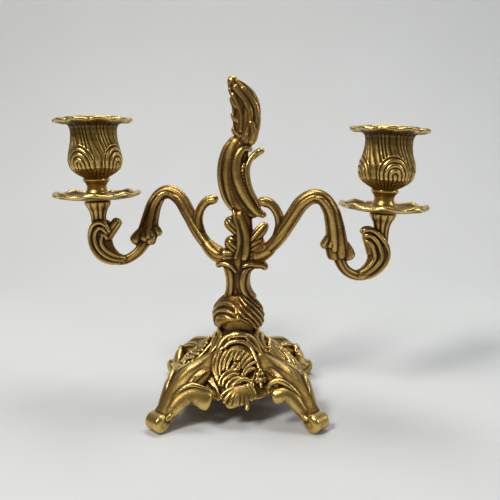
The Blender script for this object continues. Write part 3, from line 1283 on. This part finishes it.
@dataclass
class Arm:
    """One arm in its own frame, X outwards from the stem; the right arm has sunk a little.

    A row of a bar is: reach, swing, height, half width, half depth and share of the sinking. A row of a ridge
    has a seventh value after the swing, how far the ridge stands out to either face.
    """

    name: str
    drop: float
    lean: float
    seat_reach: float = 100.0
    seat_height: float = 145.8

    @property
    def rolled(self) -> bool:
        """Whether this arm's scroll ends in a broad roll."""
        return self.name == "right"

    def at(self, rows: Sequence[Sequence[float]]) -> Stations:
        """Stations with the sinking taken off."""
        return tuple((r, s, z - share * self.drop, a, b) for r, s, z, a, b, share in rows)

    def bar(self, rows: Sequence[Sequence[float]], ribs: Ribs = SMOOTH, around: int = 56,
            blunt: float = 1.0) -> Shell:
        """The skin of a bar of the arm."""
        return Bar(self.at(rows), ribs, around=around, blunt=blunt).shell()

    def ridge(self, rows: Sequence[Sequence[float]]) -> list[Shell]:
        """The skins of a thin ridge, one on each face of the arm."""
        return [self.bar([(r, s + face * out, z, a, b, share) for r, s, out, z, a, b, share in rows],
                         around=24) for face in (-1, 1)]

    def body(self) -> list[Shell]:
        """The arm's continuous bar, its broad root and the curl that runs back towards the stem.

        Returns:
            Their skins.
        """
        main = ((9, 0, 107.4, 5, 5, 0), (15.5, -0.9, 108.2, 4.9, 4.9, 0), (21, -4.4, 112.2, 4.5, 4.7, 0),
                (29, -9.3, 121.3, 4.9, 5, 0), (37, -14, 134.6, 5.3, 5.4, 0), (44, -16.8, 145.6, 5.4, 5.4, 0),
                (52.6, -18, 150.6, 5.1, 5.2, 0), (60.4, -17.8, 146.8, 4.9, 5.2, 0),
                (64.6, -16.8, 138, 4.8, 5, 0.05), (66.8, -14.8, 127.5, 4.8, 5, 0.25),
                (68.8, -12, 116.5, 4.4, 4.8, 0.6), (74.2, -8, 107.3, 3.7, 4.2, 1),
                (83.6, -4.4, 102, 3.6, 4.2, 1), (91.5, -2.2, 105.6, 4.4, 5, 1))
        root = ((8, 0, 107, 5.4, 5.6, 0), (14, -0.6, 107.8, 6.2, 6.2, 0), (20, -3.6, 111.4, 5.6, 5.8, 0),
                (25, -6.6, 116.4, 4.4, 4.8, 0))
        curl = ((25, -7.4, 116, 3.6, 4.2, 0), (28.6, -9, 123.6, 3.9, 4.2, 0),
                (29.8, -9.4, 131.5, 3.6, 3.9, 0), (27.8, -9.2, 139, 3.4, 3.7, 0),
                (23.4, -8.6, 144.4, 3.5, 3.7, 0), (18.2, -8, 145.9, 3.7, 3.9, 0),
                (15, -7.8, 144.4, 3.4, 3.6, 0))
        return [
            self.bar(main, Ribs(7, 0.7, 0.2, 0.05, sharp=0.45)),
            self.bar(root, Ribs(6, 0.8, 0.5, 0.05, sharp=0.45)),
            self.bar(curl, Ribs(5, 0.8, 0.5, sharp=0.45)),
        ]

    def leaf(self) -> list[Shell]:
        """Leaf wrapped round the drop, flaring downwards into a smooth lobe and a bud.

        Returns:
            Their skins.
        """
        wrap = ((58.6, -18, 148.4, 5, 5.5, 0), (63.2, -17.3, 141.8, 5.6, 5.9, 0.03),
                (66, -15.9, 132.6, 6.4, 6.2, 0.15), (67.6, -13.8, 124, 7.3, 6.4, 0.35),
                (68.8, -11.8, 117.2, 7.9, 6.2, 0.6), (70.4, -10.4, 112.8, 6.4, 5.2, 0.8))
        lobe = ((67.4, -12.4, 126, 3, 4.6, 0.3), (72.6, -11.4, 120, 4.6, 4.4, 0.5),
                (76.2, -10.4, 115.4, 4.8, 3.8, 0.7), (78, -9.8, 112.6, 3.6, 3, 0.85))
        bud = ((65, -14.4, 128, 3, 4.6, 0.3), (61, -13.8, 122.6, 3.2, 4.2, 0.4),
               (58.4, -13.2, 118.6, 3, 3.4, 0.5))
        return [
            self.bar(wrap, Ribs(7, 1.1, 0.5, 0.05, sharp=0.5), around=96, blunt=0.7),
            self.bar(lobe),
            self.bar(bud, Ribs(5, 0.7, sharp=0.5)),
        ]

    def scroll(self) -> list[Shell]:
        """Broad scroll that rises out of the loop, with a spur on the left arm and a roll on the right one.

        Returns:
            Their skins.
        """
        body = ((80.5, -5.2, 102, 2.8, 4, 1), (87.6, -3.2, 102.8, 4.4, 5.2, 1),
                (94.6, -1.4, 108, 6.4, 5.6, 1), (98.2, -0.4, 115.6, 7.6, 5.8, 1), (98.4, 0, 122, 7, 5.8, 1),
                (98, 0, 127.2, 4.8, 5, 1))
        spur = ((95.6, 0, 117, 4.2, 5.2, 1), (92, 0, 122.6, 4.2, 4.6, 1), (88.4, 0, 127.4, 4, 4.2, 1),
                (85.8, 0, 131.2, 3.8, 3.8, 1), (84.8, 0, 132.8, 3.4, 3.4, 1))
        roll = ((96, 0, 113, 6.6, 5.2, 1), (95, 0, 120, 6.4, 5.2, 1), (92, 0, 126.4, 5.6, 4.8, 1),
                (88.6, 0, 130.2, 4.2, 4.4, 1), (87, 0, 131.4, 3.6, 4, 1))
        return [self.bar(body, around=72), self.bar(roll if self.rolled else spur, Ribs(5, 0.8, sharp=0.5))]

    def hooks(self) -> list[Shell]:
        """Three nested lines on each face of the scroll; they hook over or run up into the roll.

        Returns:
            Their skins.
        """
        hooked = (
            (((91, 5, 122.6), (93.2, 5.4, 127.6), (97.4, 5.4, 130.2), (102.2, 4.8, 128.6),
              (105.2, 3.6, 123.6), (105.6, 3.4, 117.4), (103.4, 4.4, 110.6), (98.2, 5.4, 104.6),
              (91.2, 5, 101.4), (84.5, 3, 101.4)), 1.7),
            (((92.6, 5.2, 121.6), (96.2, 6, 126.2), (100, 6, 124.6), (101.2, 6, 119.4), (99.6, 6.2, 112.8),
              (95.2, 6.2, 107.2), (88.6, 5.4, 103.6), (82, 2.8, 102.4)), 1.5),
            (((92.4, 5.2, 117.8), (95.2, 6.2, 121.6), (96.8, 6.6, 118.2), (95.8, 6.6, 113), (92, 6.2, 108.8),
              (86.4, 4.6, 104.8), (80.8, 2, 103.2)), 1.3),
        )
        rolled = (
            (((85.6, 3, 130.6), (87.4, 4.4, 133.6), (92, 5, 133.8), (97.6, 5, 130), (102, 4.4, 124),
              (104.2, 3.8, 117), (102.4, 4.6, 110.4), (97.4, 5.4, 104.8), (91.2, 5, 101.4),
              (84.5, 3, 101.4)), 1.7),
            (((86.6, 4.6, 129.6), (90.2, 5.8, 130.4), (94.8, 6, 127), (98.4, 6, 121), (99.2, 6.2, 114.4),
              (95.2, 6.2, 108), (88.6, 5.4, 103.6), (82, 2.8, 102.4)), 1.5),
            (((87.6, 4.8, 126.4), (91, 6, 125.4), (94, 6.4, 120), (94.6, 6.4, 114.6), (91.4, 6.2, 109.4),
              (86.4, 4.6, 104.8), (80.8, 2, 103.2)), 1.3),
        )
        swing, straight_from, straightens, closeness = 2.6, 98.0, 14.0, 0.92
        made = []
        for face in (-1, 1):
            for points, radius in rolled if self.rolled else hooked:
                rows = []
                for r, out, z in points:
                    sway = swing * max(0.0, (straight_from - r) / straightens)
                    rows.append((r, face * out * closeness - sway, z, radius, radius, 1))
                made.append(self.bar(rows, around=28))
        return made

    def ridges(self) -> list[Shell]:
        """Raised lines over the rising bar and over the leaf, and the leaf's oval beads.

        Returns:
            Their skins, on both faces.
        """
        rising = ((17, -2, 3.2, 110, 1.2, 1.2, 0), (25, -6.9, 3.5, 117.6, 1.8, 1.7, 0),
                  (34.6, -12.8, 3.9, 131, 2, 1.9, 0), (43.6, -16.6, 4, 145.4, 1.8, 1.7, 0),
                  (51, -17.8, 3.4, 149.6, 1.2, 1.2, 0))
        falling = ((48.6, -17.6, 2.8, 149.6, 1.4, 1.4, 0), (56.4, -18, 4.3, 149.2, 1.9, 1.8, 0),
                   (62.4, -17.4, 4.7, 141.6, 2.1, 1.9, 0.03), (65, -15.8, 5.2, 132, 2.2, 1.9, 0.15),
                   (66, -13.8, 5.5, 123.4, 2.2, 1.9, 0.35), (66.4, -12.2, 5.2, 117, 1.7, 1.6, 0.55))
        bead = ((64.6, -14, 5.8, 123.4, 1.4, 1.2, 0.3), (63, -13.4, 5.2, 119, 1.4, 1.2, 0.4))
        return [*self.ridge(rising), *self.ridge(falling), *self.ridge(bead)]

    def calyx(self) -> Shell:
        """Ribbed calyx along the candle's axis; rows are distance below the seat and half width.

        Returns:
            Its skin.
        """
        lean = math.radians(self.lean)
        rows = ((26, 5.2), (19, 5.2), (12, 5.4), (7, 6.6), (3.4, 8.8), (0, 9.3))
        stations = tuple((self.seat_reach - down * math.sin(lean), 0,
                          self.seat_height - self.drop - down * math.cos(lean), a, a) for down, a in rows)
        return Bar(stations, Ribs(10, 1.2, 0.3, sharp=0.5), around=120, blunt=0.12).shell()

    def build(self, finish: bpy.types.Material, turn: Array) -> bpy.types.Object:
        """Builds and dresses the arm.

        Args:
            finish: the material it gets.
            turn: rotation of the arm about the stem.

        Returns:
            The arm.
        """
        casting = Casting(f"{self.name}_arm_scroll", Body.BRANCH, (f"{self.name}_arm",), 0.36, 4)
        casting.add(*self.body(), *self.leaf(), *self.scroll(), *self.hooks(), *self.ridges(), self.calyx())
        return casting.make(finish, turn)


# ---------------------------------------------------------------- candle holders


@dataclass
class Holder:
    """Drip pan, collar and candle cup that stand on one arm's seat."""

    name: str
    pan_body: Body
    seat: Array
    axis: Array
    phase: float = 0.0

    def frame(self) -> Array:
        """Rotation whose Z is the candle's axis.

        Returns:
            The 3 x 3 matrix.
        """
        z = self.axis / np.linalg.norm(self.axis)
        y = np.cross(z, [1.0, 0.0, 0.0])
        y /= np.linalg.norm(y)
        return np.stack([np.cross(y, z), y, z], 1)

    def place(self, shell: Shell) -> Shell:
        """A skin moved from the seat's frame to the row's."""
        return shell.moved(self.frame() @ turn_z(self.phase), self.seat)

    def pan(self, finish: bpy.types.Material) -> bpy.types.Object:
        """Lobed drip pan with a rolled, scrolling edge.

        Args:
            finish: the material it gets.

        Returns:
            The drip pan.
        """
        profile = [(4.1, 0, 0), (9.5, 0, 0), (20, 0.8, 0.3), (27, 2, 0.3), (30.4, 2.9, 0.2), (31, 4, 0.2),
                   (29.8, 5.3, 0.2), (27.4, 5.2, 0.5), (25, 3.7, 1), (20, 2.8, 1), (12, 2.2, 0.6),
                   (9.5, 2.2, 0), (4.1, 2.2, 0)]

        def relief(angle: Array, share: Array, z: Array) -> Array:
            """Radial gadroons over the dish."""
            return 0.3 * ribbed(angle / (2 * math.pi) * 24 + 0.3 * np.sin(4 * angle), 0.8)

        def shape(angle: Array, radius: Array, z: Array) -> tuple[Array, Array]:
            """Eight lobes, whose edges roll up by turns.

            Args:
                angle: angle round the pan in radians.
                radius: distance from the axis.
                z: height.

            Returns:
                The changed radius and height.
            """
            rim = step(radius, 21, 28)
            lobe = np.abs(np.cos(4 * angle))
            roll = hump(radius, 28.4, 2.4) * (0.5 + 0.5 * np.cos(8 * angle + 0.9)) ** 2
            return radius - rim * 1.5 * (1 - lobe**0.7), z + rim * 0.25 * np.cos(8 * angle + 0.4) + 1.2 * roll

        casting = Casting(f"{self.name}_pan_dish", self.pan_body, (f"{self.name}_drip_pan",), fused=False,
                          soft=0)
        casting.add(self.place(turned_shell(profile, 480, 0.4, relief, shape, rounding=3)))
        return casting.make(finish)

    def collar(self, finish: bpy.types.Material) -> bpy.types.Object:
        """Turned collar with its polished ring.

        Args:
            finish: the material it gets.

        Returns:
            The collar.
        """
        profile = [(2.15, 0), (4, 0), (4, 2.5), (9.2, 2.5), (9.6, 3), (9.4, 3.9), (8.7, 4.5), (8, 5),
                   (8.1, 5.6), (7.7, 6.2), (7.1, 7.2), (6.8, 8.4), (6.75, 9.6), (7, 10.8), (7.5, 11.8),
                   (8.2, 12.6), (8.6, 13.1), (9.1, 13.4), (9.4, 13.9), (9.4, 14.9), (9, 15.4), (8.6, 15.6),
                   (2.15, 15.6)]
        casting = Casting(f"{self.name}_collar_ring", Body.BRANCH, (f"{self.name}_collar",), fused=False,
                          soft=0)
        casting.add(self.place(turned_shell(profile, 160, 0.2, rounding=2)))
        return casting.make(finish)

    def cup(self, finish: bpy.types.Material) -> bpy.types.Object:
        """Tulip cup with swept flutes, nested crescents on its belly and a lobed lip.

        Args:
            finish: the material it gets.

        Returns:
            The candle cup.
        """
        base = 15.6
        profile = [(2.15, 0, 0), (8.2, 0, 0), (9.4, 0.4, 0.5), (12.4, 1.8, 1), (15.4, 4, 1), (17.6, 7.2, 1),
                   (18.8, 12, 1), (18.7, 16.5, 1), (17.8, 21, 1), (16.7, 26, 1), (16.3, 30, 1),
                   (16.4, 33.6, 1), (17.3, 36.2, 0.8), (19.6, 37.6, 0.3), (25.6, 37.9, 0.2),
                   (27.5, 38.8, 0.2), (27.4, 40.4, 0.2), (25.8, 41, 0.2), (20.8, 40.8, 0.1), (19.8, 41.9, 0),
                   (18.4, 42, 0), (12.2, 41.6, 0), (11.1, 40.6, 0), (11.1, 6.9, 0), (8.6, 4.4, 0),
                   (7, 3.6, 0), (2.15, 3.6, 0)]

        def relief(angle: Array, share: Array, z: Array) -> Array:
            """Flutes that sweep round four nested plumes.

            Args:
                angle: angle round the cup in radians.
                share: 0 to 1 along the profile.
                z: height.

            Returns:
                Height of the relief.
            """
            plumes, belly, flute_pitch, crescent_pitch, plume_radius = 4, 17.5, 3.44, 2.9, 11.6
            turn = angle / (2 * math.pi) * plumes
            local = (turn - np.floor(turn)) - 0.5
            x = local * (2 * math.pi * belly / plumes)
            sweep = 3.6 * np.tanh((z - 22) / 9.0)
            flutes = (x + sweep) / flute_pitch + 0.30 * np.sin(0.46 * x + 0.10 * z)
            cx, cz = 3.4, 9.5
            rise = np.where(z > cz, (z - cz) * 0.82, 0.0)
            rho = np.sqrt((x - cx + (z - cz) * 0.10) ** 2 + rise**2)
            nested = rho / crescent_pitch
            mask = 1 - step(rho, 10.6, 11.8)
            cut = 1.1 * ribbed(flutes, 0.5) * (1 - mask) + 1.35 * ribbed(nested, 0.6) * mask
            bulge = 1.2 * np.sqrt(np.clip(1 - (rho / plume_radius) ** 2, 0, 1)) * step(z, 2, 8)
            return cut + bulge - 0.4

        def shape(angle: Array, radius: Array, z: Array) -> tuple[Array, Array]:
            """Lobes of the lip.

            Args:
                angle: angle round the cup in radians.
                radius: distance from the axis.
                z: height.

            Returns:
                The changed radius and height.
            """
            lip = step(radius, 17.5, 25)
            lobe = np.abs(np.cos(5 * angle + 0.4))
            return (radius - lip * 1.9 * (1 - lobe**0.55) + lip * 0.15 * np.cos(20 * angle),
                    z + lip * (0.45 * np.cos(10 * angle + 1.2)))

        casting = Casting(f"{self.name}_candle_tulip", Body.BRANCH, (f"{self.name}_candle_cup",), fused=False,
                          soft=0)
        shell = turned_shell(profile, 640, 0.35, relief, shape, rounding=2)
        casting.add(self.place(shell.moved(np.eye(3), (0, 0, base))))
        return casting.make(finish)


# ---------------------------------------------------------------- stage


@dataclass(frozen=True)
class Studio:
    """Pale floor that curves up into a backdrop, soft lights and the camera."""

    camera: tuple[float, float, float] = (0.0084, -0.4163, 0.1807)
    pitch: float = 80.5
    lens: float = 43.0
    paper: tuple[float, float, float] = (0.60, 0.61, 0.605)

    def backdrop(self) -> bpy.types.Object:
        """Floor and wall in one sweep of plain paper.

        Returns:
            The paper.
        """
        front, bend_start, bend, wall_top, half_width = -1.6, 0.35, 0.45, 2.2, 2.4
        depth = [(front, 0.0), (bend_start, 0.0)]
        depth += [(bend_start + bend * math.sin(a), bend - bend * math.cos(a))
                  for a in np.linspace(0.1, math.pi / 2, 14)]
        depth += [(bend_start + bend, wall_top)]
        points = [(x, y, z) for y, z in depth for x in (-half_width, half_width)]
        faces = [(2 * i, 2 * i + 1, 2 * i + 3, 2 * i + 2) for i in range(len(depth) - 1)]
        mesh = bpy.data.meshes.new("paper_sweep")
        mesh.from_pydata(points, [], faces)
        mesh.polygons.foreach_set("use_smooth", [True] * len(faces))
        obj = add_object("paper_sweep", mesh)
        material = bpy.data.materials.new("paper")
        material.use_nodes = True
        w = Wiring(material.node_tree)
        shader = material.node_tree.nodes["Principled BSDF"]
        cloud = w.ramp(w.noise(3.0, 3.0), 0.3, 0.7)
        shade = w.mix(cloud, (*[c * 0.96 for c in self.paper], 1), (*self.paper, 1))
        w.feed(shader.inputs["Base Color"], shade)
        shader.inputs["Roughness"].default_value = 0.8
        mesh.materials.append(material)
        return obj

    def light(self, name: str, place: Sequence[float], size: tuple[float, float], power: float,
              colour: tuple[float, float, float] = (1.0, 1.0, 1.0)) -> None:
        """A soft box that faces the object.

        Args:
            name: the lamp's name.
            place: where it stands, in metres.
            size: width and height of the box in metres.
            power: its power in watts.
            colour: its colour.
        """
        lamp = bpy.data.lights.new(name, "AREA")
        lamp.shape = "RECTANGLE"
        lamp.size, lamp.size_y = size
        lamp.energy = power
        lamp.color = colour
        obj = bpy.data.objects.new(name, lamp)
        bpy.context.scene.collection.objects.link(obj)
        obj.location = place
        obj.rotation_euler = (Vector((0, 0, 0.11)) - Vector(place)).to_track_quat("-Z", "Y").to_euler()

    def build(self) -> None:
        """Sets up floor, lights, sky and camera."""
        self.backdrop()
        self.light("window", (-0.70, -0.80, 1.25), (0.34, 0.46), 17.0, (1.0, 0.98, 0.95))
        self.light("top", (0.15, 0.30, 1.55), (1.1, 0.5), 13.0)
        self.light("side", (1.30, -0.20, 0.80), (0.30, 0.60), 4.0, (0.96, 0.98, 1.0))
        world = bpy.data.worlds.new("room")
        world.use_nodes = True
        world.node_tree.nodes["Background"].inputs["Color"].default_value = (0.93, 0.96, 1.0, 1)
        world.node_tree.nodes["Background"].inputs["Strength"].default_value = 0.11
        bpy.context.scene.world = world
        camera = bpy.data.cameras.new("camera")
        camera.lens = self.lens
        camera.clip_start = 0.01
        obj = bpy.data.objects.new("camera", camera)
        obj.location = self.camera
        obj.rotation_euler = (math.radians(self.pitch), 0, 0)
        bpy.context.scene.collection.objects.link(obj)
        bpy.context.scene.camera = obj
        bpy.context.scene.view_settings.view_transform = "Standard"


# ---------------------------------------------------------------- assembly


def pan_seat(record: dict, joint: str) -> tuple[Array, Array]:
    """Seat in millimetres and axis of a drip pan's joint."""
    found = next(j for j in record["behaviour"]["joints"] if j["name"] == joint)
    return np.array(found["pos_m"]) / MM, np.array(found["axis"])


def main() -> None:
    """Builds the candelabrum on its frame, piece by piece, and the studio round it."""
    logging.basicConfig(level=logging.INFO, format="%(name)s %(message)s")
    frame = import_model()
    patina, grain = patina_group(), grain_group()
    cast = GiltFinish("gilt_casting").make(patina, grain)
    polished = GiltFinish("gilt_turned", middle=(0.46, 0.29, 0.08), rough_ridge=0.18, rough_hollow=0.36,
                          breakup=0.5, pits=0.5, bump=0.12).make(patina, grain)
    dark = GiltFinish("gilt_dark", ridge=(0.56, 0.365, 0.10), middle=(0.14, 0.062, 0.015),
                      hollow=(0.020, 0.008, 0.003), rough_ridge=0.25, breakup=0.42).make(patina, grain)
    steel = SteelFinish().make(grain)
    left_seat, left_axis = pan_seat(frame["record"], "left_pan_turn")
    right_seat, right_axis = pan_seat(frame["record"], "right_pan_turn")
    yaw = math.degrees(math.atan2(right_seat[1], right_seat[0]))
    Base().build(cast)
    Stem().build(dark, turn_z(yaw))
    Stem().flame(dark, turn_z(yaw))
    for name, drop, lean, side in (("left", 0.0, 1.0, 180.0), ("right", 7.0, 2.7, 0.0)):
        Arm(name, drop, lean).build(dark, turn_z(side + yaw))
    for holder in (Holder("left", Body.LEFT_PAN, left_seat, left_axis, 12.0),
                   Holder("right", Body.RIGHT_PAN, right_seat, right_axis, 40.0)):
        holder.pan(cast)
        holder.collar(polished)
        holder.cup(cast)
    for node in ("base_washer", "base_nut", "tie_rod", "finial_stud", "left_root_stud", "right_root_stud",
                 "left_lock_washer", "right_lock_washer", "left_cup_screw", "right_cup_screw"):
        obj = frame["nodes"][node]
        obj.data.materials.clear()
        obj.data.materials.append(steel)
    Studio().build()
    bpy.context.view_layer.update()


if __name__ == "__main__":
    main()
